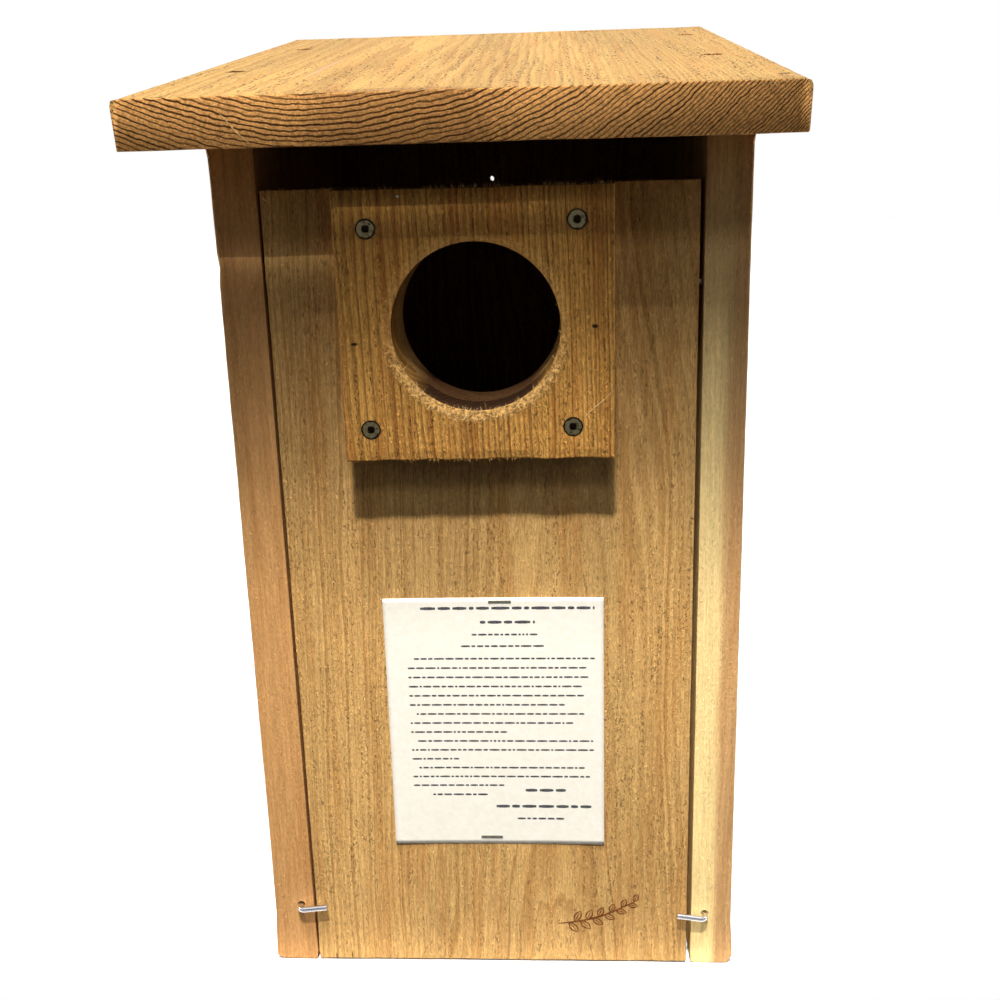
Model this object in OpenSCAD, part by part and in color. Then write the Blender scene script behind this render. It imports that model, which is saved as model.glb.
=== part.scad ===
// Nest box for small owls and kestrels: a cedar box with a front that swings out on two
// nails, a one-piece sloping roof, an entrance block with a bored hole, and two wire latches.
// Frame: origin at the middle of the underside, X to the right seen from the front,
// Y from the front to the rear, Z up. Millimetres.

/* [Boards] */
// Thickness of every cedar board
board_t = 21.2; // [17:0.1:25]
// Clear width between the two side panels
inner_w = 203.2; // [202:0.1:230]
// Depth of the side panels, front edge to rear edge
side_d = 284; // [250:0.5:310]
// Height of the side panels at their front edge
side_front_h = 437.4; // [430:0.1:470]

/* [Roof] */
// Fall of the roof towards the front, in degrees
roof_slope = 8.8; // [5:0.1:12]
// Width of the roof board
roof_w = 284; // [270:1:320]
// Length of the roof board along its slope
roof_len = 354.5; // [345:0.5:357]
// How far the roof stands out in front of the side panels, along its slope
roof_overhang = 46.3; // [30:0.1:60]
// Sideways offset of the roof board on the box
roof_shift = -5; // [-8:0.5:8]

/* [Front] */
// Width of the swinging front panel
front_w = 199.8; // [190:0.1:200]
// Height of the swinging front panel
front_h = 411.8; // [395:0.1:420]
// Height of the front panel's bottom edge above the underside
front_lift = 0.8; // [0.5:0.1:3]
// Distance of the pivot nails below the front panel's top edge
pivot_drop = 46.5; // [42:0.5:55]
// Number of saw kerfs that make the climbing ladder inside
kerf_count = 8; // [0:1:9]

/* [Entrance] */
// Diameter of the entrance hole
hole_d = 76.2; // [50:0.1:78]
// Width of the entrance block
block_w = 124.4; // [120:0.1:135]
// Height of the entrance block
block_h = 123.2; // [118:0.1:135]
// Sideways offset of the entrance block and its hole
block_x = -2; // [-5:0.5:5]

/* [Floor] */
// Diameter of the four drain holes
drain_d = 9.5; // [6:0.5:12]
// Gap between the floor's front edge and the front panel
floor_gap = 0.5; // [0.4:0.1:3]

/* [Latches] */
// Wire diameter of the latch hooks
hook_wire_d = 3; // [2.4:0.1:4]
// Reach of a latch's leg from the axis that it turns about
hook_reach = 15.2; // [12:0.1:16]
// Gap from the wood to the middle of a latch's leg
hook_standoff = 4.4; // [4:0.1:8]

/* [Card] */
// Width of the paper card
card_w = 110; // [90:1:140]
// Height of the paper card
card_h = 139.4; // [138:0.2:160]
// Thickness of the paper card
card_t = 0.3; // [0.2:0.05:0.6]

/* [Mounting] */
// Diameter of the two mounting holes in the back panel
mount_hole_d = 3.6; // [3:0.1:8]
// Height of the upper mounting hole
mount_high_z = 409; // [380:1:420]
// Height of the lower mounting hole
mount_low_z = 79; // [60:1:120]

/* [Hidden] */
$fn = 64;
eps = 0.5;                                  // how far a cutter runs past the wood
outer_w = inner_w + 2 * board_t;
front_y = -(side_d + board_t) / 2;          // plane of the side panels' front edges
back_y = -front_y;                          // plane of the back panel's rear face
side_x = (inner_w + board_t) / 2;           // middle of a side panel's thickness
front_x = -0.4;                             // the front panel hangs a little to the left
front_top = front_lift + front_h;
pivot_y = front_y + board_t / 2;
pivot_z = front_top - pivot_drop;
hole_z = front_top - block_h / 2;           // the hole is bored in the middle of the block
mount_x = -9.8;
floor_mid_z = board_t / 2;

// Square-drive wood screws, and the all-round clearance of a fastener in its hole
head_r = 4.5;
head_h = 2.7;
head_rim = 0.4;
shank_r = 1.8;
thread_r = 2.1;
thread_root_r = 1.5;
thread_pitch = 2.8;
screw_tip = 4;
drive_w = 3;
drive_depth = 2.2;
block_screw_l = 38;
long_screw_l = 50;
long_smooth = 20;                           // length of a long screw without thread
short_smooth = 14;
fit = 0.06;
roof_sink = 1.8;                            // how deep the roof screws' heads lie
flush_sink = 0.2;

// Places of the screws, which were driven by eye
block_screw_spots = [[-47.1, 44.4], [45.7, 46.5], [-49.6, -46.2], [43.1, -46]];    // from the hole
// Across the roof, up its slope, and the lean that brings a screw into the side panel
roof_side_screw_spots = [[-122.5, 64.5, -11], [-117.5, 207.5, -4], [113, 77.5, 0], [115.5, 228.5, 0]];
roof_back_screw_x = [-62, 56];
back_screw_z = [60, 235, 410];
side_floor_screw_y = [front_y + 75, back_y - 80];
rear_floor_screw_x = [-60, 60];

// Pivot nails
nail_r = 1.7;
nail_head_r = 4;
nail_head_h = 1.2;
nail_l = 50;
nail_tip = 4;

// Latch hooks
hook_r = hook_wire_d / 2;
hook_bend_r = 2.6;
hook_depth = 20;
hook_neck = 3;                              // smooth stretch of the shank inside the wood
hook_pitch = 2.4;
hook_turns = 6;
hook_mouth_r = 2.4;                         // the drilled hole is splayed where the hook goes in
hook_mouth_depth = 1.2;
left_hook_at = [-108.5, 34.9];
right_hook_at = [108.9, 31.1];
left_hook_tilt = 7;
right_hook_tilt = 172;

// Paper card and its staples
card_at = [0.5, 143.6];
staple_w = 11.3;
staple_wire_w = 0.9;
staple_wire_t = 0.55;
staple_leg = 6;
top_staple_at = [4, 211.3];
bottom_staple_at = [-3.4, 78.2];

// Climbing ladder
kerf_w = 3;
kerf_depth = 3;
kerf_pitch = 25;
kerf_top_z = hole_z - hole_d / 2 - 30;

drain_inset = 22;

// ---------------------------------------------------------------- helpers

// Height of the roof's underside at a depth y
function eave_z(y) = side_front_h + tan(roof_slope) * (y - front_y);

// Puts children on the roof board: Y runs up the slope from the sides' front edge, Z out of the board
module on_roof_slope() {
    translate([0, front_y, side_front_h]) rotate([roof_slope, 0, 0]) children();
}

// A screw lying along -Z with the top of its head at the origin
module wood_screw(len, smooth) {
    threaded = len - screw_tip - smooth;
    turns = floor(threaded / thread_pitch);
    profile = concat(
        [[0, 0], [head_r, 0], [head_r, -head_rim], [shank_r, -head_h], [shank_r, -smooth]],
        [for (i = [0 : turns - 1]) each [
            [thread_root_r, -smooth - (i + 0.05) * thread_pitch],
            [thread_r, -smooth - (i + 0.5) * thread_pitch]]],
        [[thread_root_r, -smooth - turns * thread_pitch], [0, -len]]);
    difference() {
        rotate_extrude() polygon(profile);
        translate([-drive_w / 2, -drive_w / 2, -drive_depth])
            cube([drive_w, drive_w, drive_depth + eps]);
    }
}

// The hole that a screw fills: open above, with room for its head
module screw_hole(len) {
    above = roof_sink + eps;
    rotate_extrude() polygon([
        [0, above], [head_r + fit, above], [head_r + fit, -head_rim - fit],
        [thread_r + fit, -head_h], [thread_r + fit, -len - fit], [0, -len - fit]]);
}

// ---------------------------------------------------------------- where the fasteners stand

// Each of these puts its children at every fastener of a group, with -Z pointing into the wood

module at_block_screws() {
    for (spot = block_screw_spots)
        translate([block_x + spot[0], front_y - board_t + flush_sink, hole_z + spot[1]])
            rotate([90, 0, 0]) children();
}

module at_roof_side_screws() {
    for (spot = roof_side_screw_spots)
        on_roof_slope() translate([spot[0], spot[1], board_t - roof_sink]) rotate([0, spot[2], 0])
            children();
}

module at_roof_back_screws() {
    for (x = roof_back_screw_x)
        on_roof_slope() translate([x, (side_d + board_t / 2) * cos(roof_slope), board_t - roof_sink])
            children();
}

module at_back_screws(side) {
    for (z = back_screw_z)
        translate([side * side_x, back_y - flush_sink, z]) rotate([-90, 0, 0]) children();
}

module at_side_floor_screws(side) {
    for (y = side_floor_screw_y)
        translate([side * (outer_w / 2 - flush_sink), y, floor_mid_z]) rotate([0, side * 90, 0])
            children();
}

module at_rear_floor_screws() {
    for (x = rear_floor_screw_x)
        translate([x, back_y - flush_sink, floor_mid_z]) rotate([-90, 0, 0]) children();
}

module at_pivot(side) {
    translate([side * outer_w / 2, pivot_y, pivot_z]) rotate([0, side * 90, 0]) children();
}

// ---------------------------------------------------------------- boards

module back_panel() {
    inner_y = back_y - board_t;
    color("#c08a4e") difference() {
        translate([-outer_w / 2, 0, 0]) rotate([90, 0, 90]) linear_extrude(outer_w)
            polygon([[inner_y, 0], [back_y, 0], [back_y, eave_z(back_y)], [inner_y, eave_z(inner_y)]]);
        for (z = [mount_low_z, mount_high_z])
            translate([mount_x, back_y + eps, z]) rotate([90, 0, 0])
                cylinder(d = mount_hole_d, h = board_t + 2 * eps);
        at_roof_back_screws() screw_hole(long_screw_l);
        for (side = [-1, 1]) at_back_screws(side) screw_hole(long_screw_l);
        at_rear_floor_screws() screw_hole(long_screw_l);
    }
}

// A side panel, its top edge cut to the roof's slope, with every hole that it needs
module side_panel(side, hook_at) {
    inner_y = back_y - board_t;
    difference() {
        translate([side * side_x - board_t / 2, 0, 0]) rotate([90, 0, 90]) linear_extrude(board_t)
            polygon([[front_y, 0], [inner_y, 0], [inner_y, eave_z(inner_y)], [front_y, side_front_h]]);
        at_roof_side_screws() screw_hole(long_screw_l);
        at_back_screws(side) screw_hole(long_screw_l);
        at_side_floor_screws(side) screw_hole(long_screw_l);
        at_pivot(side) nail_hole();
        latch_bore(hook_at);
    }
}

// The splayed hole that a latch's shank turns in
module latch_bore(at) {
    translate([at[0], front_y, at[1]]) rotate([90, 0, 0]) union() {
        translate([0, 0, -hook_depth - eps]) cylinder(r = hook_r + fit, h = hook_depth + 2 * eps);
        rotate_extrude() polygon([[0, eps], [hook_mouth_r, eps], [hook_mouth_r, 0],
                                  [hook_r + fit, -hook_mouth_depth], [0, -hook_mouth_depth]]);
    }
}

module left_side_panel() { color("#cf9a5a") side_panel(-1, left_hook_at); }
module right_side_panel() { color("#e2bd7c") side_panel(1, right_hook_at); }

module floor_panel() {
    rear_y = back_y - board_t;
    front_edge_y = front_y + board_t + floor_gap;
    color("#bd8a4d") difference() {
        translate([-inner_w / 2, front_edge_y, 0]) cube([inner_w, rear_y - front_edge_y, board_t]);
        for (side = [-1, 1], y = [front_edge_y + drain_inset, rear_y - drain_inset])
            translate([side * (inner_w / 2 - drain_inset), y, -eps])
                cylinder(d = drain_d, h = board_t + 2 * eps);
        for (side = [-1, 1]) at_side_floor_screws(side) screw_hole(long_screw_l);
        at_rear_floor_screws() screw_hole(long_screw_l);
    }
}

module roof_panel() {
    color("#d9a55e") difference() {
        on_roof_slope() translate([roof_shift - roof_w / 2, -roof_overhang, 0])
            cube([roof_w, roof_len, board_t]);
        at_roof_side_screws() screw_hole(long_screw_l);
        at_roof_back_screws() screw_hole(long_screw_l);
    }
}

module front_panel() {
    color("#b98247") difference() {
        translate([front_x - front_w / 2, front_y, front_lift]) cube([front_w, board_t, front_h]);
        entrance_bore();
        at_block_screws() screw_hole(block_screw_l);
        for (side = [-1, 1]) at_pivot(side) nail_hole();
        for (at = [top_staple_at, bottom_staple_at]) staple_legs(at, fit);
        if (kerf_count > 0) for (i = [0 : kerf_count - 1])
            translate([front_x - front_w / 2 - eps, front_y + board_t - kerf_depth,
                       kerf_top_z - i * kerf_pitch])
                cube([front_w + 2 * eps, kerf_depth + eps, kerf_w]);
    }
}

module entrance_bore() {
    translate([block_x, front_y + board_t + eps, hole_z]) rotate([90, 0, 0])
        cylinder(d = hole_d, h = 2 * board_t + 2 * eps, $fn = 128);
}

module entrance_block() {
    color("#a8743c") difference() {
        translate([block_x - block_w / 2, front_y - board_t, front_top - block_h])
            cube([block_w, board_t, block_h]);
        entrance_bore();
        at_block_screws() screw_hole(block_screw_l);
    }
}

// ---------------------------------------------------------------- fasteners

module block_screws() { color("#8f8f8c") at_block_screws() wood_screw(block_screw_l, short_smooth); }
module roof_side_screws() { color("#8f8f8c") at_roof_side_screws() wood_screw(long_screw_l, long_smooth); }
module roof_back_screws() { color("#8f8f8c") at_roof_back_screws() wood_screw(long_screw_l, long_smooth); }
module back_screws(side) { color("#8f8f8c") at_back_screws(side) wood_screw(long_screw_l, long_smooth); }
module side_floor_screws(side) {
    color("#8f8f8c") at_side_floor_screws(side) wood_screw(long_screw_l, long_smooth);
}
module rear_floor_screws() { color("#8f8f8c") at_rear_floor_screws() wood_screw(long_screw_l, long_smooth); }

// A round nail lying along -Z with the top of its head at the origin
module pivot_nail(side) {
    color("#9b9b9a") at_pivot(side) rotate_extrude() polygon([
        [0, 0], [nail_head_r, 0], [nail_head_r, -nail_head_h], [nail_r, -nail_head_h],
        [nail_r, nail_tip - nail_l], [0, -nail_l]]);
}

// The bore of a pivot nail, with a seat that lets its head lie flush
module nail_hole() {
    rotate_extrude() polygon([
        [0, eps], [nail_head_r + fit, eps], [nail_head_r + fit, -nail_head_h],
        [nail_r + fit, -nail_head_h], [nail_r + fit, -nail_l - eps], [0, -nail_l - eps]]);
}

// A square-bend hook: a pointed shank along Y into the wood, and a leg across the
// front, tilted about the shank from +X
module latch_hook(at, tilt) {
    straight = hook_standoff - hook_bend_r;
    root_r = hook_r - 0.35;
    profile = concat(
        [[0, straight], [hook_r, straight], [hook_r, -hook_neck]],
        [for (i = [0 : hook_turns - 1]) each [
            [root_r, -hook_neck - (i + 0.05) * hook_pitch],
            [hook_r, -hook_neck - (i + 0.5) * hook_pitch]]],
        [[root_r, -hook_neck - hook_turns * hook_pitch], [0, -hook_depth]]);
    color("#c9cbd0") translate([at[0], front_y, at[1]]) rotate([90, 0, 0]) rotate([0, 0, tilt]) union() {
        rotate_extrude() polygon(profile);
        translate([hook_bend_r, 0, straight]) rotate([90, 0, 180]) rotate_extrude(angle = 90)
            translate([hook_bend_r, 0]) circle(r = hook_r);
        translate([hook_bend_r, 0, hook_standoff]) rotate([0, 90, 0])
            cylinder(r = hook_r, h = hook_reach - hook_bend_r);
    }
}

module left_latch_hook() { latch_hook(left_hook_at, left_hook_tilt); }
module right_latch_hook() { latch_hook(right_hook_at, right_hook_tilt); }

// ---------------------------------------------------------------- card and staples

module paper_card() {
    color("#f4efe2") difference() {
        translate([card_at[0] - card_w / 2, front_y - card_t, card_at[1] - card_h / 2])
            cube([card_w, card_t, card_h]);
        for (at = [top_staple_at, bottom_staple_at]) staple_legs(at, fit);
    }
}

// The two legs of a staple, grown by a clearance where they cut their slots
module staple_legs(at, grow) {
    for (side = [-1, 1])
        translate([at[0] + side * (staple_w - staple_wire_t) / 2 - staple_wire_t / 2 - grow,
                   front_y - card_t - grow, at[1] - staple_wire_w / 2 - grow])
            cube([staple_wire_t + 2 * grow, staple_leg + card_t + 2 * grow, staple_wire_w + 2 * grow]);
}

module staple(at) {
    color("#9a9a98") union() {
        translate([at[0] - staple_w / 2, front_y - card_t - staple_wire_t, at[1] - staple_wire_w / 2])
            cube([staple_w, staple_wire_t, staple_wire_w]);
        staple_legs(at, 0);
    }
}

module top_staple() { staple(top_staple_at); }
module bottom_staple() { staple(bottom_staple_at); }

back_panel();
left_side_panel();
right_side_panel();
floor_panel();
roof_panel();
front_panel();
entrance_block();
block_screws();
roof_side_screws();
roof_back_screws();
back_screws(-1);  // left_back_screws
back_screws(1);  // right_back_screws
side_floor_screws(-1);  // left_floor_screws
side_floor_screws(1);  // right_floor_screws
rear_floor_screws();
pivot_nail(-1);  // left_pivot_nail
pivot_nail(1);  // right_pivot_nail
left_latch_hook();
right_latch_hook();
paper_card();
top_staple();
bottom_staple();
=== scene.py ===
"""A cedar nest box with a swinging front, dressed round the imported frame. Metres, Z up, front to -Y."""
import math
from functools import partial

import bmesh
import bpy
import numpy as np
from mathutils import Matrix, Vector


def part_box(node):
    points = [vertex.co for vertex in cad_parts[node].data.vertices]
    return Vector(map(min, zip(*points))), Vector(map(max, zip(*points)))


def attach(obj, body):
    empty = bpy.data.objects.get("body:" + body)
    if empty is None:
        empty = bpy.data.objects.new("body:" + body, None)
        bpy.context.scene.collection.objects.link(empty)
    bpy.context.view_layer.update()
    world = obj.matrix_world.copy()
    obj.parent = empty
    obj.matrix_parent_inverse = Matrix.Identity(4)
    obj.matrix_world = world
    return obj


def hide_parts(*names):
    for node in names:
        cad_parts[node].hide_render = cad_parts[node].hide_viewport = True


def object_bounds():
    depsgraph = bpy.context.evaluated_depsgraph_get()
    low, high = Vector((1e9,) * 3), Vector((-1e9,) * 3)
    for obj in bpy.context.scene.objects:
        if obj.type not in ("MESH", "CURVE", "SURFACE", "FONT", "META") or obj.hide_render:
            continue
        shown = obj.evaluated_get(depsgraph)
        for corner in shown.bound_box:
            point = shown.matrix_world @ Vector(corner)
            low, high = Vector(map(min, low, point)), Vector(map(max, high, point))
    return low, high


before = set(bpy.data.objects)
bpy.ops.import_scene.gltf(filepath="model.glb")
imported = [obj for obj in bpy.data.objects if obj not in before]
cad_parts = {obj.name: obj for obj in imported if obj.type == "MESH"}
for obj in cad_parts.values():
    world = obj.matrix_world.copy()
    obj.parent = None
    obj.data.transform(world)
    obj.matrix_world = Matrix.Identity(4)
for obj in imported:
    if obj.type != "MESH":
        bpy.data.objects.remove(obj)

cad_low, cad_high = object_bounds()
MM = 0.001
ROOF_TILT = math.radians(8.8)
tilt_y, tilt_z = math.cos(ROOF_TILT), math.sin(ROOF_TILT)

block_low, block_high = (np.array(c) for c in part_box("entrance_block"))
card_low, card_high = (np.array(c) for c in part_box("paper_card"))
FACE_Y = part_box("front_panel")[0][1]                 # the front panel's outer face
HOLE = np.array([-2.0, 351.0]) * MM                  # the entrance hole's centre, x and z
HOLE_R = 38.1 * MM

# The same faces and places in millimetres, for the patterns, which are worked out in millimetres.
FRONT_FACE, BLOCK_FACE = -152.6, -173.8              # y of the front panel's face and of the block's
BLOCK_FOOT = 289.4                                   # z of the block's bottom edge
ROOF_BASE = 437.4                                    # z of the roof's underside over the side boards' front
ROOF_FRONT, ROOF_TOP = -46.3, 21.2                   # the roof's front end down the slope, its thickness
hole_x, hole_z = HOLE[0] / MM, HOLE[1] / MM
BLOCK_SCREWS = ((-47.1, 44.4), (45.7, 46.5), (-49.6, -46.2), (43.1, -46.0))    # from the hole, x and z

FLOOR_REACH = 0.02      # how far the floor runs in front of the box
OVERHEAD = 3.1          # strengths of the even lamps and of the surround
LOW_FRONT = 0.40
FRONT_FILL = 0.15
SIDE_FILL = 1.7
BACK_FILL = 1.0
SURROUND = 0.06
SPOT_REACH = 1.4        # how far both spot lamps stand from the edge of their light
ROOF_LAMP = 60.0        # the roof's own lamp: power, height and slope of its light's lower edge, and cone
ROOF_FOOT = 0.430
ROOF_SLOPE = 47.0
ROOF_CONE = 76.0
KEY = 155.0             # the key lamp: power, height and slope of its light's upper edge, and cone
KEY_TOP = 0.298
KEY_SLOPE = 58.0
KEY_CONE = 44.0


# ------------------------------------------------------------------ small helpers

def colour(code):
    """A hex sRGB colour as linear RGBA: the sRGB curve undone on each channel."""
    v = np.array([int(code[i:i + 2], 16) for i in (1, 3, 5)]) / 255
    v = np.where(v <= 0.04045, v / 12.92, ((v + 0.055) / 1.055) ** 2.4)
    return (*(float(c) for c in v), 1.0)


def add_node(tree, kind, inputs=(), out=0, **settings):
    """Adds one node with its settings, fills or links its inputs, and gives back one of its outputs."""
    node = tree.nodes.new("ShaderNode" + kind)
    for name, value in settings.items():
        setattr(node, name, value)
    for socket, value in dict(inputs).items():
        if isinstance(value, bpy.types.NodeSocket):
            tree.links.new(value, node.inputs[socket])
        else:
            node.inputs[socket].default_value = value
    return node.outputs[out]


def material(name):
    """An empty node material: add_node bound to its tree, and a function that closes it with a shader."""
    made = bpy.data.materials.new(name)
    made.use_nodes = True
    tree = made.node_tree
    tree.nodes.clear()

    def close(shader):
        tree.links.new(shader, tree.nodes.new("ShaderNodeOutputMaterial").inputs["Surface"])
        return made

    return partial(add_node, tree), close


def mesh_piece(name, verts, faces, finish, smooth=True, closed=True):
    """A new object at the origin from vertex and face arrays; a closed shell is turned to face outwards."""
    mesh = bpy.data.meshes.new(name)
    mesh.from_pydata(np.asarray(verts).tolist(), [], [list(map(int, f)) for f in faces])
    bm = bmesh.new()
    bm.from_mesh(mesh)
    bmesh.ops.remove_doubles(bm, verts=bm.verts, dist=1e-7)
    if closed:
        bmesh.ops.recalc_face_normals(bm, faces=bm.faces)
    bm.to_mesh(mesh)
    bm.free()
    mesh.polygons.foreach_set("use_smooth", np.full(len(mesh.polygons), smooth))
    mesh.materials.append(finish)
    piece = bpy.data.objects.new(name, mesh)
    bpy.context.scene.collection.objects.link(piece)
    return piece


def grid_faces(rows, cols, start=0, wrap=False):
    """The quads of a rows x cols grid of vertices, the columns closed round when wrap is set."""
    r, c = np.meshgrid(np.arange(rows - 1), np.arange(cols if wrap else cols - 1), indexing="ij")
    nxt = (c + 1) % cols
    quads = np.stack([r * cols + c, r * cols + nxt, (r + 1) * cols + nxt, (r + 1) * cols + c], -1)
    return quads.reshape(-1, 4) + start


# ------------------------------------------------------------------ the camera and the light

def camera():
    """A hand-held view from the front, a little above the box and to the right of its middle."""
    yaw, pitch, roll = math.radians(3.11), math.radians(15.28), math.radians(1.58)
    forward = Vector((-math.sin(yaw) * math.cos(pitch), math.cos(yaw) * math.cos(pitch), -math.sin(pitch)))
    right = Vector((math.cos(yaw), math.sin(yaw), 0))
    down = forward.cross(right)
    turned_right = math.cos(roll) * right + math.sin(roll) * down
    turned_up = math.sin(roll) * right - math.cos(roll) * down
    place = (0.03442, -0.67256, 0.4259)
    data = bpy.data.cameras.new("camera")
    data.sensor_width = 36
    data.lens = 40.5
    data.shift_y = -0.03936
    data.clip_start = 0.01
    eye = bpy.data.objects.new("camera", data)
    bpy.context.scene.collection.objects.link(eye)
    rows = zip(turned_right, turned_up, -forward, place)
    eye.matrix_world = Matrix([*rows, (0, 0, 0, 1)])
    bpy.context.scene.camera = eye


def lamp(name, kind, place, azimuth, elevation, energy, **settings):
    """One lamp at a place, shining down from an azimuth, where 0 is the front, and an elevation."""
    data = bpy.data.lights.new(name, kind)
    data.energy = energy
    for key, value in settings.items():
        setattr(data, key, value)
    obj = bpy.data.objects.new(name, data)
    bpy.context.scene.collection.objects.link(obj)
    a, e = math.radians(azimuth), math.radians(elevation)
    towards = Vector((-math.sin(a) * math.cos(e), -math.cos(a) * math.cos(e), math.sin(e)))
    obj.location = place
    obj.rotation_euler = towards.to_track_quat("Z", "Y").to_euler()


def studio():
    """A pale floor, lamps on the lower front and the roof, soft lamps all round and a white surround."""
    add, close = material("floor_matt_white_board")
    grain = add("TexNoise", {"Vector": add("TexCoord", out="Object"), "Scale": 40.0})
    tint = add("Mix", {0: grain, 6: colour("#E0E0DF"), 7: colour("#E4E4E3")}, 2, data_type="RGBA")
    finish = close(add("BsdfPrincipled", {"Base Color": tint, "Roughness": 0.9, "Specular IOR Level": 0.0}))
    left, right, front, back = -2.4, 2.4, FACE_Y - FLOOR_REACH, 6.0
    corners = [(left, front, 0), (right, front, 0), (right, back, 0), (left, back, 0)]
    floor = mesh_piece("floor", corners, [(0, 1, 2, 3)], finish, closed=False)

    lamp("overhead", "SUN", (0, -0.2, 2), 0, 76, OVERHEAD, angle=math.radians(7))
    lamp("low_front", "SUN", (0, -1.5, 1.5), -4, 44, LOW_FRONT, angle=math.radians(9))
    slope = math.radians(KEY_SLOPE)
    place = (0.005, FACE_Y - SPOT_REACH * math.cos(slope), KEY_TOP + SPOT_REACH * math.sin(slope))
    lamp("key", "SPOT", place, 0, KEY_SLOPE + KEY_CONE / 2, KEY, spot_size=math.radians(KEY_CONE),
         spot_blend=0.03, shadow_soft_size=0.05)
    slope = math.radians(ROOF_SLOPE)
    place = (-0.06, cad_low[1] - SPOT_REACH * math.cos(slope), ROOF_FOOT + SPOT_REACH * math.sin(slope))
    lamp("roof_lamp", "SPOT", place, 0, ROOF_SLOPE - ROOF_CONE / 2, ROOF_LAMP,
         spot_size=math.radians(ROOF_CONE), spot_blend=0.02, shadow_soft_size=0.01)
    lamp("left_front_fill", "SUN", (-1, -1, 1), 55, 22, FRONT_FILL, angle=math.radians(25))
    lamp("right_front_fill", "SUN", (1, -1, 1), -55, 22, FRONT_FILL, angle=math.radians(25))
    lamp("left_fill", "SUN", (-1, 0.5, 1), 108, 24, SIDE_FILL, angle=math.radians(40))
    lamp("right_fill", "SUN", (1, 0.5, 1), -108, 24, SIDE_FILL, angle=math.radians(40))
    lamp("back_fill", "SUN", (0, 1.5, 1), 180, 34, BACK_FILL, angle=math.radians(40))

    world = bpy.data.worlds.new("surround")
    bpy.context.scene.world = world
    world.use_nodes = True
    tree = world.node_tree
    tree.nodes.clear()
    add = partial(add_node, tree)
    seen = add("LightPath", out="Is Camera Ray")
    up = add("SeparateXYZ", {0: add("TexCoord")}, 2)     # in gloss, bright above and below, dim between
    above = add("MapRange", {"Value": up, "From Min": 0.5, "From Max": 0.8, "To Min": 0.10, "To Max": 0.75})
    below = add("MapRange", {"Value": up, "From Min": -0.1, "From Max": 0.0, "To Min": 0.65, "To Max": 0.0})
    gloss = add("Math", {0: above, 1: below}, operation="MAXIMUM")
    gloss = add("Math", {0: add("LightPath", out="Is Glossy Ray"), 1: gloss}, operation="MULTIPLY")
    seen = add("Math", {0: seen, 1: gloss}, operation="MAXIMUM")
    strength = add("MapRange", {"Value": seen, "To Min": SURROUND, "To Max": 1.0})
    shine = add("Background", {"Color": (1, 1, 1, 1), "Strength": strength})
    tree.links.new(shine, tree.nodes.new("ShaderNodeOutputWorld").inputs["Surface"])
    bpy.context.scene.view_settings.view_transform = "Standard"


camera()
studio()


# ------------------------------------------------------------------ cedar

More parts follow.
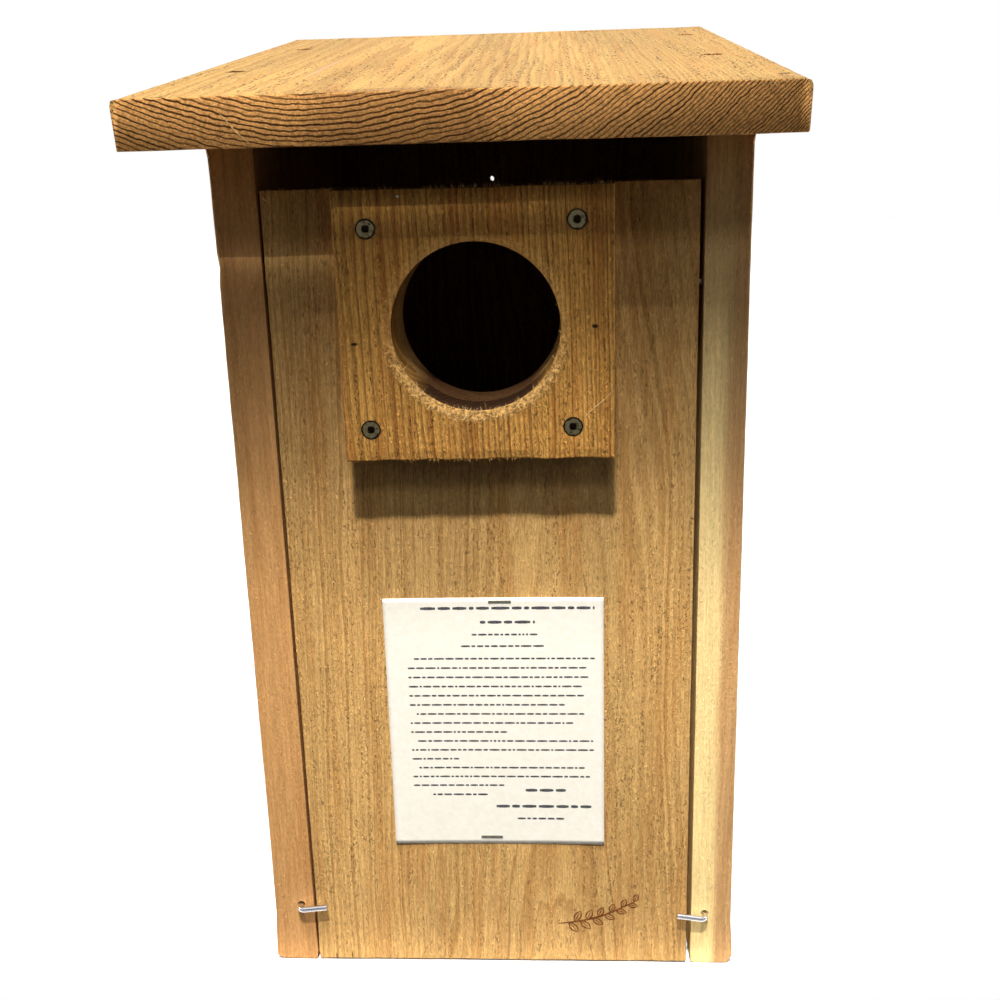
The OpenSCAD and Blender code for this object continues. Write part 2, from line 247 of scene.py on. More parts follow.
def cedar(name, pith, along=(0, 0, 1), spacing=2.6, tight=(400, 0.0), pale="#C3985F", late="#8F5F30",
          red="#A5622F", lines=0.5, streaks=0.5, pits=0.5, end_pale="#9A6B3B", end_late="#4A2C14",
          end_lines=0.8, rough=1.0, bend=8.0, uneven=1.4, pit_size=(0.9, 2.6), sap=None, marks=(),
          rim=None):
    """Sawn and rough-planed western red cedar: a straight soft grain seen as thin darker year lines.

    One field runs through the whole board. With P in mm, the distance from the tree's pith,
    r = |P - pith| square to the grain, wanders by up to bend mm of slow noise, and its count of years is
    n = r / spacing + k * max(r - r0, 0)^2, where tight = (r0, k) packs the outer years closer. Within a
    year the colour darkens late and steps back. Streaks, threads and fibres are noise drawn out along the
    grain. Faces that the grain runs into are end grain, with open year lines and a rough sawn relief.

    sap = (x, colour, width) is pale sapwood on the low side of a plane. Each of marks is a centre, a size,
    a colour and a strength. rim = (centre, radius, width) is a torn band round a bored hole.
    """
    add, close = material(name)
    g = Vector(along).normalized()
    a = Vector((1, 0, 0)) if abs(g.x) < 0.9 else Vector((0, 1, 0))
    a = (a - g * a.dot(g)).normalized()
    b = g.cross(a)
    place = add("VectorMath", {0: add("TexCoord", out="Object"), "Scale": 1000.0}, operation="SCALE")
    from_pith = add("VectorMath", {0: place, 1: pith}, operation="SUBTRACT")
    u = add("VectorMath", {0: from_pith, 1: a}, "Value", operation="DOT_PRODUCT")
    v = add("VectorMath", {0: from_pith, 1: b}, "Value", operation="DOT_PRODUCT")
    w = add("VectorMath", {0: from_pith, 1: g}, "Value", operation="DOT_PRODUCT")
    q = add("CombineXYZ", {0: u, 1: v, 2: w})

    def drawn(across, length, detail=2.0, turn=0.5):
        """Noise whose blobs are across mm wide and length mm long, down the grain."""
        long = add("Mapping", {"Vector": q, "Location": (turn * 31, turn * 17, turn * 7),
                               "Scale": (1 / across, 1 / across, 1 / length)})
        return add("TexNoise", {"Vector": long, "Scale": 1.0, "Detail": detail, "Roughness": 0.55})

    flat = add("CombineXYZ", {0: u, 1: v})
    radius = add("VectorMath", {0: flat}, "Value", operation="LENGTH")
    slow = add("MapRange", {"Value": drawn(45, 330), "To Min": -bend, "To Max": bend})
    quick = add("MapRange", {"Value": drawn(5, 60, turn=1.1), "To Min": -0.9, "To Max": 0.9})
    radius = add("Math", {0: radius, 1: slow}, operation="ADD")
    radius = add("Math", {0: radius, 1: quick}, operation="ADD")
    beyond = add("Math", {0: radius, 1: tight[0]}, operation="SUBTRACT")
    beyond = add("Math", {0: beyond, 1: 0.0}, operation="MAXIMUM")
    packed = add("Math", {0: beyond, 1: beyond}, operation="MULTIPLY")
    packed = add("Math", {0: packed, 1: tight[1]}, operation="MULTIPLY")
    years = add("Math", {0: radius, 1: 1 / spacing, 2: packed}, operation="MULTIPLY_ADD")
    climate = add("Math", {0: radius, 1: 1 / 8}, operation="MULTIPLY")       # good and bad years, over 8 mm
    climate = add("TexNoise", {"W": climate}, noise_dimensions="1D")
    years = add("Math", {0: climate, 1: uneven, 2: years}, operation="MULTIPLY_ADD")
    season = add("Math", {0: years}, operation="FRACT")
    year = add("TexWhiteNoise", {"W": add("Math", {0: years}, operation="FLOOR")}, noise_dimensions="1D")
    stop = add("MapRange", {"Value": season, "From Min": 0.93, "From Max": 1.0, "To Min": 1.0,
                            "To Max": 0.0})
    keep = add("MapRange", {"Value": year, "To Min": 0.45, "To Max": 1.0})
    late_wood = []
    for begins, full in ((0.35, 0.88), (0.55, 0.86)):            # as faces show it, and as end grain does
        share = add("MapRange", {"Value": season, "From Min": begins, "From Max": full},
                    interpolation_type="SMOOTHSTEP")
        share = add("Math", {0: share, 1: stop}, operation="MULTIPLY")
        late_wood.append(add("Math", {0: share, 1: keep}, operation="MULTIPLY"))
    line, thin = late_wood

    # face grain: pale wood, darker lines, reddish streaks
    fibre = drawn(0.55, 9, 3.0, 2.3)
    streak = drawn(6, 150, 2.0, 3.1)
    thread = drawn(1.3, 40, 2.0, 4.7)
    broad = drawn(38, 260, 1.0, 5.9)
    scale = drawn(0.7, 2.6, 3.0, 10.3)
    amount = add("Math", {0: line, 1: lines}, operation="MULTIPLY")
    face = add("Mix", {0: amount, 6: colour(pale), 7: colour(late)}, 2, data_type="RGBA")
    redden = add("MapRange", {"Value": streak, "From Min": 0.42, "From Max": 0.72, "To Max": streaks},
                 interpolation_type="SMOOTHSTEP")
    face = add("Mix", {0: redden, 6: face, 7: colour(red)}, 2, data_type="RGBA")
    if sap:                                            # pale sapwood, fainter higher up the board
        edge, wood, width = sap
        x = add("SeparateXYZ", {0: place}, 0)
        sway = add("MapRange", {"Value": drawn(20, 120, 2.0, 8.8), "To Min": -3.0, "To Max": 3.0})
        x = add("Math", {0: sway, 1: x}, operation="ADD")
        share = add("MapRange", {"Value": x, "From Min": edge - width, "From Max": edge + width,
                                 "To Min": 1.0, "To Max": 0.0}, interpolation_type="SMOOTHSTEP")
        fade = add("MapRange", {"Value": w, "From Min": 330, "From Max": 400, "To Min": 1.0, "To Max": 0.3})
        share = add("Math", {0: share, 1: fade}, operation="MULTIPLY")
        face = add("Mix", {0: share, 6: face, 7: colour(wood)}, 2, data_type="RGBA")
    tone = 1.0
    for grain, spread, dark, light in ((broad, 0.2, 0.9, 1.1), (thread, 0.2, 0.88, 1.1),
                                       (fibre, 0.2, 1 - 0.16 * rough, 1 + 0.14 * rough),
                                       (scale, 0.18, 1 - 0.15 * rough, 1 + 0.15 * rough)):
        part = add("MapRange", {"Value": grain, "From Min": 0.5 - spread, "From Max": 0.5 + spread,
                                "To Min": dark, "To Max": light})
        tone = add("Math", {0: tone, 1: part}, operation="MULTIPLY")
    # pits left by the planer where the grain tore, gathered in rows and darkened as painted shade in their
    # hollows, and pale flecks of lifted fibre
    rows = add("MapRange", {"Value": drawn(2.4, 90, 1.0, 6.4), "From Min": 0.46, "From Max": 0.6})
    pit = add("MapRange", {"Value": drawn(*pit_size, 1.0, 7.7), "From Min": 0.58, "From Max": 0.65})
    pit = add("Math", {0: pit, 1: rows}, operation="MULTIPLY")
    pit = add("Math", {0: pit, 1: pits}, operation="MULTIPLY")
    fleck = add("MapRange", {"Value": drawn(1.0, 2.2, 1.0, 9.5), "From Min": 0.66, "From Max": 0.72,
                             "To Max": 0.35 * rough})
    tone = add("Math", {0: tone, 1: fleck}, operation="ADD")
    # painted shade: colour darkened to 0.42 inside each pit
    pit_shade = add("MapRange", {"Value": pit, "To Min": 1.0, "To Max": 0.42})
    tone = add("Math", {0: tone, 1: pit_shade}, operation="MULTIPLY")
    face = add("VectorMath", {0: face, "Scale": tone}, operation="SCALE")

    # end grain, wherever the surface is square to the grain
    speckle = add("TexNoise", {"Vector": place, "Scale": 0.7, "Detail": 4.0, "Roughness": 0.9})
    end_amount = add("Math", {0: thin, 1: end_lines}, operation="MULTIPLY")
    end = add("Mix", {0: end_amount, 6: colour(end_pale), 7: colour(end_late)}, 2, data_type="RGBA")
    end_tone = add("MapRange", {"Value": speckle, "From Min": 0.36, "From Max": 0.64, "To Min": 0.55,
                                "To Max": 1.5})
    end = add("VectorMath", {0: end, "Scale": end_tone}, operation="SCALE")
    turned = add("VectorMath", {0: add("TexCoord", out="Normal"), 1: g}, "Value", operation="DOT_PRODUCT")
    turned = add("Math", {0: turned}, operation="ABSOLUTE")
    square_on = add("MapRange", {"Value": turned, "From Min": 0.55, "From Max": 0.8},
                    interpolation_type="SMOOTHSTEP")
    shade = add("Mix", {0: square_on, 6: face, 7: end}, 2, data_type="RGBA")

    height = add("Math", {0: line, 1: 0.10}, operation="MULTIPLY")
    for grain, rise in ((fibre, 0.22 * rough), (thread, 0.18 * rough), (pit, -0.5), (fleck, 0.5),
                        (scale, 0.5 * rough)):
        height = add("Math", {0: grain, 1: rise, 2: height}, operation="MULTIPLY_ADD")
    end_height = add("Math", {0: speckle, 1: 0.7}, operation="MULTIPLY")
    end_height = add("Math", {0: thin, 1: -0.9, 2: end_height}, operation="MULTIPLY_ADD")
    height = add("Mix", {0: square_on, 2: height, 3: end_height}, 0, data_type="FLOAT")
    # marks also lay painted shade: dark discs round the block's screws and the roof's countersunk holes
    for centre, size, ink, strength in marks:          # knots, scorches and scratches, by their distance
        gap = add("VectorMath", {0: place, 1: centre}, operation="SUBTRACT")
        gap = add("VectorMath", {0: gap, 1: size}, operation="DIVIDE")
        gap = add("VectorMath", {0: gap}, "Value", operation="LENGTH")
        gap = add("Math", {0: speckle, 1: 0.8, 2: gap}, operation="MULTIPLY_ADD")
        share = add("MapRange", {"Value": gap, "From Min": 1.0, "From Max": 1.55, "To Min": strength,
                                 "To Max": 0.0}, interpolation_type="SMOOTHSTEP")
        shade = add("Mix", {0: share, 6: shade, 7: colour(ink)}, 2, data_type="RGBA")
    if rim:                                            # a torn pale band, fullest along the hole's foot
        centre, bore, width = rim
        gap = add("VectorMath", {0: place, 1: centre}, operation="SUBTRACT")
        gap = add("VectorMath", {0: gap, 1: (1, 0, 1)}, operation="MULTIPLY")
        gap = add("VectorMath", {0: gap}, "Value", operation="LENGTH")
        torn = add("TexNoise", {"Vector": place, "Scale": 0.6, "Detail": 4.0, "Roughness": 0.85})
        gap = add("Math", {0: torn, 1: -2.6 * width, 2: gap}, operation="MULTIPLY_ADD")
        share = add("MapRange", {"Value": gap, "From Min": bore - 0.5 * width,
                                 "From Max": bore + 0.25 * width, "To Min": 0.95, "To Max": 0.0})
        for axis, near, far, least in ((1, 0.6, 2.0, 0.0), (2, -26, -2, 0.22)):
            part = add("MapRange", {"Value": add("SeparateXYZ", {0: place}, axis),
                                    "From Min": centre[axis] + near, "From Max": centre[axis] + far,
                                    "To Min": 1.0, "To Max": least})
            share = add("Math", {0: share, 1: part}, operation="MULTIPLY")
        lift = add("MapRange", {"Value": torn, "From Min": 0.38, "From Max": 0.62, "To Min": 0.3,
                                "To Max": 1.7})
        bright = add("VectorMath", {0: colour("#D8A660")[:3], "Scale": lift}, operation="SCALE")
        shade = add("Mix", {0: share, 6: shade, 7: bright}, 2, data_type="RGBA")
        ragged = add("Math", {0: share, 1: torn}, operation="MULTIPLY")
        height = add("Math", {0: ragged, 1: 1.2, 2: height}, operation="MULTIPLY_ADD")
    relief = add("Bump", {"Height": height, "Distance": 0.9 * MM, "Strength": 0.8})
    dull = add("MapRange", {"Value": fibre, "From Min": 0.3, "From Max": 0.7, "To Min": 0.66,
                            "To Max": 0.86})
    return close(add("BsdfPrincipled", {"Base Color": shade, "Roughness": dull, "Normal": relief,
                                        "Specular IOR Level": 0.12}))


def on_roof(x, s, n):
    """A point in mm: x across, s up the slope from the side boards' front, n above the roof's underside."""
    return (x, FACE_Y / MM + s * tilt_y - n * tilt_z, ROOF_BASE + s * tilt_z + n * tilt_y)


def on_block(x, z):
    """A point in mm on the block's face, x and z from the entrance hole's centre."""
    return (hole_x + x, BLOCK_FACE, hole_z + z)


WOOD = {
    # Cedar, sawn and left rough on its show face: honey brown, softly striped, with small torn pits. Marks:
    # two dark saw nicks at the foot.
    "front_panel": cedar("cedar_rough_face", (34, -70, 0), (0.01, 0.035, 1), 2.4, pale="#CA9F61",
                         late="#93652F", red="#A66B30", lines=0.6, streaks=0.36, pits=0.6,
                         end_pale="#745030", end_late="#3A2412", rough=1.2,
                         marks=(((-91.1, FRONT_FACE, 2.5), (0.5, 3, 2.2), "#3A2210", 0.8),
                                ((-82.4, FRONT_FACE, 3.0), (0.5, 3, 3.0), "#3A2210", 0.8))),
    # Cedar, rough sawn and bored: darker, with bold wide year lines, coarse pits and a torn pale ring round
    # the hole. Its end grain is dark, partly its own colour and partly painted shade for the walls of the
    # bore.
    # Marks: two pin knots, a fleck of resin, and a dark disc round each screw, painted shade of the gap
    # round its head.
    "entrance_block": cedar("cedar_block_rough_sawn", (-150, -120, 0), (-0.02, 0.02, 1), 4.2, (90, 0.0010),
                            pale="#BA8843", late="#5C3614", red="#945A25", lines=0.85, streaks=0.55,
                            # painted shade: end grain darkened for the shaded walls of the bore
                            pits=0.8, end_pale="#402916", end_late="#20120A", rough=1.6, bend=6.0,
                            uneven=0.7, rim=(on_block(0, 0), HOLE_R / MM, 3.4),
                            marks=(((51.2, BLOCK_FACE, 350.8), (1.5, 3, 1.0), "#160C06", 0.95),
                                   ((-57.0, BLOCK_FACE, 344.6), (1.7, 3, 0.9), "#160C06", 0.95),
                                   ((-34.2, BLOCK_FACE, 409.0), (0.8, 3, 0.6), "#EADFC8", 0.9),
                                   # painted shade: a dark disc round each screw, seen as a ring past its
                                   # head
                                   *((on_block(*at), (4.75, 3, 4.75), "#1E120A", 0.9)
                                     for at in BLOCK_SCREWS))),
    # Cedar, its edges planed: smoother and pinker, fine straight lines, hardly a pit.
    "left_side_panel": cedar("cedar_planed_edge", (-60, 330, 0), (0, 0.01, 1), 1.8, pale="#C5925A",
                             late="#A9763F", red="#B0723A", lines=0.35, streaks=0.3, pits=0.25, rough=0.75),
    # Cedar, planed, cut where heartwood meets sapwood: its inner part is a cream band that wanders.
    "right_side_panel": cedar("cedar_heart_and_sapwood", (60, 330, 0), (0, -0.01, 1), 1.8, pale="#C69A66",
                              late="#A07242", red="#B27C48", lines=0.45, streaks=0.4, pits=0.25, rough=0.7,
                              sap=(113.5, "#EDCD8C", 3.4)),
    # Cedar, flat sawn: long flames of grain on top, and arched open year lines on the front end. Marks: a
    # brown patch, a knot and its halo, a pale rubbed strip, and painted shade round the countersunk holes.
    "roof_panel": cedar("cedar_roof_sawn", on_roof(-59, ROOF_FRONT, 190.6), (0, tilt_y, tilt_z), 2.15,
                        (200, 0.0028), pale="#B38D4E", late="#835D2D", red="#A67038", lines=0.5,
                        streaks=0.45, pits=1.6, end_pale="#EFAC62", end_late="#4E290E", end_lines=1.0,
                        rough=1.3, bend=3.0, uneven=0.25, pit_size=(1.3, 5.0),
                        marks=((on_roof(-28, ROOF_FRONT, 8), (46, 12, 26), "#6A3E18", 0.42),
                               (on_roof(129, -26, ROOF_TOP), (3.2, 2.4, 1.6), "#2A170B", 0.9),
                               (on_roof(134, -33, ROOF_TOP), (4.5, 4.0, 2.5), "#A97E66", 0.6),
                               (on_roof(-79, 70, ROOF_TOP), (1.6, 75, 13), "#B39A7C", 0.5),
                               # painted shade: a dark patch round each countersunk screw hole, for its
                               # shaded far wall
                               *((on_roof(x, at, ROOF_TOP), (6.2, 5.4, 3.0), "#5E3716", 0.7) for x, at in
                                 ((-122.5, 64.5), (-117.5, 207.5), (113, 77.5), (115.5, 228.5))))),
    # Cedar, sawn both faces: plain brown boards, striped upright at the back and across on the floor.
    "back_panel": cedar("cedar_back_sawn", (20, 230, 0), (0.01, -0.03, 1), 2.8, lines=0.55, streaks=0.45,
                        pits=0.6),
    "floor_panel": cedar("cedar_floor_sawn", (0, 40, -60), (1, 0.02, 0), 2.6, lines=0.55, streaks=0.45,
                         pits=0.5),
}


# ------------------------------------------------------------------ metals and paper

def metal(name, tint, rough, dirt_and_shade, spread, bump, heads=()):
    """A metal whose dullness and tint wander with fine noise, and grime where the noise is low.

    At each of heads, the centres of screw heads, painted shade also fills the recess and rings the rim:
    d = |P - centre| square to Y is all shade below 1.5 mm and beyond 4 mm, and none from 2 to 3.5 mm.
    """
    add, close = material(name)
    place = add("VectorMath", {0: add("TexCoord", out="Object"), "Scale": 1000.0}, operation="SCALE")
    cloud = add("TexNoise", {"Vector": place, "Scale": 0.7, "Detail": 4.0})
    fine = add("TexNoise", {"Vector": place, "Scale": 4.0, "Detail": 3.0})
    share = add("MapRange", {"Value": cloud, "From Min": 0.5, "From Max": 0.7, "To Max": spread})
    if heads:
        nearest = 99.0                                 # mm, farther than any head
        for centre in heads:
            gap = add("VectorMath", {0: place, 1: centre}, operation="SUBTRACT")
            gap = add("VectorMath", {0: gap, 1: (1, 0, 1)}, operation="MULTIPLY")
            gap = add("VectorMath", {0: gap}, "Value", operation="LENGTH")
            nearest = add("Math", {0: gap, 1: nearest}, operation="MINIMUM")
        ragged = add("MapRange", {"Value": cloud, "To Min": -0.7, "To Max": 0.7})
        nearest = add("Math", {0: ragged, 1: nearest}, operation="ADD")
        # painted shade: the square recess made dark
        recess_shade = add("MapRange", {"Value": nearest, "From Min": 1.5, "From Max": 2.0, "To Min": 1.0,
                                  "To Max": 0.0})
        share = add("Math", {0: share, 1: recess_shade}, operation="MAXIMUM")
        # painted shade: a dark ring round the head's rim
        edge = add("MapRange", {"Value": nearest, "From Min": 3.5, "From Max": 4.0})
        share = add("Math", {0: share, 1: edge}, operation="MAXIMUM")
    shade = add("Mix", {0: share, 6: colour(tint), 7: colour(dirt_and_shade)}, 2, data_type="RGBA")
    dull = add("MapRange", {"Value": fine, "From Min": 0.3, "From Max": 0.7, "To Min": rough * 0.8,
                            "To Max": rough * 1.3})
    relief = add("Bump", {"Height": fine, "Distance": bump * MM, "Strength": 0.6})
    return close(add("BsdfPrincipled", {"Base Color": shade, "Metallic": 1.0, "Roughness": dull,
                                        "Normal": relief}))


# Stainless steel, cold headed: a grey, slightly satin skin with wood dust in its low spots.
STAINLESS = metal("stainless_cold_headed", "#7E7A72", 0.36, "#3A3128", 0.7, 0.08)
# The same steel on the block's screws, with patches of wood dust, and painted shade in the square recess
# and round the rim.
BLOCK_HEADS = metal("stainless_head_dust_and_shade", "#756B50", 0.34, "#1E170F", 0.85, 0.14,
                    [on_block(*at) for at in BLOCK_SCREWS])
# Steel wire, zinc electroplated and bent: bright and white, with faint draw marks.
ZINC = metal("steel_wire_zinc_plated", "#DADADF", 0.2, "#A6A6AC", 0.3, 0.03)
# Flat staple wire, tinned: bright, a little yellowed.
STAPLE = metal("staple_wire_tinned", "#8E897E", 0.24, "#4A453C", 0.5, 0.03)

# The solids whose shape is right already, and which only take a finish.
KEPT_NODES = {
    "floor_panel": WOOD["floor_panel"],
    "block_screws": BLOCK_HEADS, "roof_side_screws": STAINLESS, "roof_back_screws": STAINLESS,
    "left_back_screws": STAINLESS, "right_back_screws": STAINLESS, "left_floor_screws": STAINLESS,
    "right_floor_screws": STAINLESS, "rear_floor_screws": STAINLESS, "left_pivot_nail": STAINLESS,
    "right_pivot_nail": STAINLESS, "left_latch_hook": ZINC, "right_latch_hook": ZINC,
    "top_staple": STAPLE, "bottom_staple": STAPLE,
}
for node, finish in KEPT_NODES.items():
    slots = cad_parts[node].data.materials
    slots.clear()
    slots.append(finish)


def paper():
    """Paper, uncoated: a matt cream sheet, faintly cloudy where its fibres lie thick and thin."""
    add, close = material("paper_uncoated_cream")
    place = add("VectorMath", {0: add("TexCoord", out="Object"), "Scale": 1000.0}, operation="SCALE")
    cloud = add("TexNoise", {"Vector": place, "Scale": 0.35, "Detail": 5.0, "Roughness": 0.65})
    share = add("MapRange", {"Value": cloud, "From Min": 0.35, "From Max": 0.65})
    shade = add("Mix", {0: share, 6: colour("#E6DFCE"), 7: colour("#EDE6D8")}, 2, data_type="RGBA")
    relief = add("Bump", {"Height": cloud, "Distance": 0.12 * MM, "Strength": 0.5})
    return close(add("BsdfPrincipled", {"Base Color": shade, "Roughness": 0.8, "Normal": relief,
                                        "Specular IOR Level": 0.2}))


def stain(name, first, second, scale, rough):
    """A dry matt colour, such as toner or scorched wood, that wanders between two shades."""
    add, close = material(name)
    place = add("VectorMath", {0: add("TexCoord", out="Object"), "Scale": 1000.0}, operation="SCALE")
    cloud = add("TexNoise", {"Vector": place, "Scale": scale, "Detail": 3.0})
    share = add("MapRange", {"Value": cloud, "From Min": 0.35, "From Max": 0.65})
    shade = add("Mix", {0: share, 6: colour(first), 7: colour(second)}, 2, data_type="RGBA")
    return close(add("BsdfPrincipled", {"Base Color": shade, "Roughness": rough,
                                        "Specular IOR Level": 0.1}))


PAPER = paper()
# Toner, fused on paper: a soft grey that is nowhere quite black.
TONER = stain("toner_dry_grey", "#38383A", "#606063", 1.5, 0.6)
# Cedar burnt with a hot iron: dark brown, paler where the iron moved fast.
SCORCH = stain("cedar_scorched_line", "#4E2A14", "#8A5228", 0.9, 0.9)
# Cedar fibre torn by a saw: fresh pale wood that catches the light.
TORN = stain("cedar_torn_fibre", "#C79A5C", "#E6C690", 0.6, 0.85)
# Cedar fibre frayed along a sawn edge: older and browner, so that it only roughens the edge.
HUNG = stain("cedar_frayed_fibre", "#7C5228", "#B98A4E", 0.6, 0.9)


# ------------------------------------------------------------------ boards with eased and worn edges

ON_SIDE = 0.06 * MM     # a point this near a board's side lies on it


def wander(points, size, seed):
    """Smooth values in 0..1 at points: three sine waves of unlike directions, lengths near size, added."""
    turn = np.random.default_rng(seed).uniform(-1, 1, (3, 3))
    phase = np.random.default_rng(seed + 1).uniform(0, 7, 3)
    waves = np.sin(points @ (turn.T * 6.28 / size) + phase)
    return 0.5 + waves.sum(1) / 6


def eased_board(node, finish, body, radii, tilt=0.0, worn=0.25, chips=()):
    """A board with its own corners: a merged copy of the solid, its outer edges cut into short lengths,
    worn in by up to worn mm and at the chips, then rounded to the radius in mm given for each edge.

    An edge is named by the two sides of the board that meet there, such as "x-z+", in the board's own
    axes, which are turned by tilt about X. Wear at p is worn * wander(p), and a chip at c, of radius r and
    depth d, adds d * (1 - |p - c| / r).
    """
    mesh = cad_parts[node].data.copy()
    mesh.name = node + "_eased"
    bm = bmesh.new()
    bm.from_mesh(mesh)
    bmesh.ops.remove_doubles(bm, verts=bm.verts, dist=1e-6)
    bmesh.ops.dissolve_limit(bm, angle_limit=0.01, verts=bm.verts, edges=bm.edges)
    turn = np.array(Matrix.Rotation(-tilt, 3, "X"))
    places = np.array([turn @ np.array(v.co) for v in bm.verts])
    low, high = places.min(0), places.max(0)
    for axis in range(3):                         # cut across every 7 mm, clear of the rounded edges
        span = high[axis] - low[axis]
        cut = np.eye(3)[axis]
        for at in np.linspace(low[axis] + 5 * MM, high[axis] - 5 * MM, int(span / (7 * MM))):
            if span > 40 * MM:
                bmesh.ops.bisect_plane(bm, geom=[*bm.verts, *bm.edges, *bm.faces], dist=1e-7,
                                       plane_co=(cut * at) @ turn, plane_no=cut @ turn)
    weights = bm.edges.layers.float.new("bevel_weight_edge")
    largest = max(radii.values())
    for edge in bm.edges:
        ends = [turn @ np.array(v.co) for v in edge.verts]
        sides = ["xyz"[i] + sign for i in range(3) for sign, limit in (("-", low), ("+", high))
                 if all(abs(end[i] - limit[i]) < ON_SIDE for end in ends)]
        if len(sides) == 2:
            edge[weights] = radii.get("".join(sides), 0.0) / largest
    bm.to_mesh(mesh)
    bm.free()

    points = np.empty(len(mesh.vertices) * 3)
    mesh.vertices.foreach_get("co", points)
    points = points.reshape(-1, 3) @ turn.T
    at_low, at_high = np.abs(points - low) < ON_SIDE, np.abs(points - high) < ON_SIDE
    on_edge = (at_low | at_high).sum(1) >= 2
    inward = at_low.astype(float) - at_high
    depth = worn * MM * wander(points, 0.021, 5)[:, None] * on_edge[:, None]
    for centre, radius, cut in chips:
        reach = np.linalg.norm(points - np.array(centre) * MM, axis=1) / (radius * MM)
        depth += (cut * MM * np.clip(1 - reach, 0, 1) * on_edge)[:, None]
    points += inward * depth
    mesh.vertices.foreach_set("co", (points @ turn).ravel())
    mesh.materials.clear()
    mesh.materials.append(finish)
    piece = bpy.data.objects.new(node + "_board", mesh)
    bpy.context.scene.collection.objects.link(piece)
    round_off = piece.modifiers.new("eased", "BEVEL")
    round_off.width = largest * MM
    round_off.segments = 3
    round_off.limit_method = "WEIGHT"
    round_off.use_clamp_overlap = False
    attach(piece, body)
    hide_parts(node)


eased_board("front_panel", WOOD["front_panel"], "front",
            {"x-y-": 0.45, "x+y-": 0.45, "y-z+": 0.6, "y-z-": 0.8})
eased_board("entrance_block", WOOD["entrance_block"], "front",
            {"x-y-": 0.8, "x+y-": 0.8, "y-z+": 0.9, "y-z-": 0.9}, worn=0.5,
            chips=[((x, BLOCK_FACE, BLOCK_FOOT), 8, 0.5) for x in (-43, -24, -9, 4, 17, 45)])
side_edges = {"x-z-": 3.6, "x+z-": 3.6, "y-z-": 0.9, "y+z-": 0.9, "x-y+": 0.8, "x+y+": 0.8}
eased_board("left_side_panel", WOOD["left_side_panel"], "box",
            {"x-y-": 1.3, "x+y-": 0.4, **side_edges}, worn=0.3,
            chips=[((-122.8, FRONT_FACE, 377), 6, 1.0)])
eased_board("right_side_panel", WOOD["right_side_panel"], "box",
            {"x-y-": 0.4, "x+y-": 1.3, **side_edges}, worn=0.3)
eased_board("roof_panel", WOOD["roof_panel"], "box",
            {"x-z+": 4.6, "x+z+": 3.8, "y-z+": 0.6, "y-z-": 0.8, "x-z-": 1.0, "x+z-": 1.0, "x-y-": 1.2,
             "x+y-": 1.2, "x-y+": 1.2, "x+y+": 1.2, "y+z+": 0.8, "y+z-": 0.8}, tilt=ROOF_TILT, worn=0.35)
eased_board("back_panel", WOOD["back_panel"], "box",
            {"x-y+": 1.0, "x+y+": 1.0, "x-z-": 0.8, "x+z-": 0.8, "y+z-": 1.0}, worn=0.06)


# ------------------------------------------------------------------ torn fibres

def fibres(name, roots, reach, bend, thick, body, finish=TORN):
    """Whiskers of wood: P(t) = root + reach t + bend t^2 for t in 0..1, with a triangular section of size
    thick (1 - t)^0.6.
    """
    rings, sides = 5, 3
    t = np.linspace(0, 1, rings)[None, :, None]
    line = roots[:, None] + reach[:, None] * t + bend[:, None] * t ** 2
    side = np.cross(reach, bend + np.array([1e-6, 2e-6, 3e-6]))
    side /= np.linalg.norm(side, axis=1, keepdims=True)
    over = np.cross(reach, side)
    over /= np.linalg.norm(over, axis=1, keepdims=True)
    turn = np.arange(sides) * 2 * np.pi / sides
    ring = side[:, None] * np.cos(turn)[None, :, None] + over[:, None] * np.sin(turn)[None, :, None]
    width = thick[:, None, None, None] * np.maximum(1 - t, 0.03)[..., None] ** 0.6
    verts = (line[:, :, None] + ring[:, None] * width).reshape(-1, 3)
    verts = np.clip(verts, np.array(cad_low), np.array(cad_high))
    first = np.arange(len(roots))[:, None] * rings * sides
    tip = first + (rings - 1) * sides
    walls = (first[..., None] + grid_faces(rings, sides, wrap=True)[None]).reshape(-1, 4)
    caps = np.concatenate([first + [2, 1, 0], tip + [0, 1, 2]])
    piece = mesh_piece(name, verts, [*walls, *caps], finish, smooth=False)
    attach(piece, body)


def rim_fibres():
    """Fibres torn out round the bored hole, thickest along its foot, combed along the grain on the face."""
    rng = np.random.default_rng(7)
    count = 620
    angle = np.radians(np.concatenate([rng.normal(-92, 34, 430), rng.uniform(-205, 25, 190)]))
    out = rng.gamma(1.3, 1.3, count) * MM
    radial = np.stack([np.cos(angle), np.zeros(count), np.sin(angle)], 1)
    middle = np.array([HOLE[0], block_low[1] + 0.25 * MM, HOLE[1]])
    roots = middle + radial * (HOLE_R + 0.35 * MM + out)[:, None]
    length = rng.uniform(0.9, 3.0, count)[:, None] * MM
    way = np.stack([rng.normal(0, 0.35, count), rng.uniform(-0.35, -0.08, count),
                    rng.choice([-1, 1], count, p=[0.6, 0.4])], 1)
    bend = np.stack([rng.normal(0, 0.35, count), rng.uniform(0.02, 0.3, count),
                     rng.normal(0, 0.3, count)], 1)
    fibres("hole_rim_fibres", roots, way * length, bend * length, rng.uniform(0.10, 0.24, count) * MM,
           "front")


def edge_fibres(name, start, end, count, way, spread, length, body, seed, finish=TORN):
    """Fibres off an edge from start to end, in tufts, up to length mm long, all leaning about one way."""
    rng = np.random.default_rng(seed)
    tufts = rng.uniform(0, 1, max(count // 9, 2))
    along = np.clip(rng.choice(tufts, count) + rng.normal(0, 0.03, count), 0, 1)[:, None]
    roots = np.array(start) + (np.array(end) - np.array(start)) * along
    size = rng.uniform(0.3, 1.0, count)[:, None] * length
    reach = (np.array(way) + rng.normal(0, spread, (count, 3))) * size
    bend = rng.normal(0, 0.35, (count, 3)) * size
    fibres(name, roots * MM, reach * MM, bend * MM, rng.uniform(0.08, 0.2, count) * MM, body, finish)


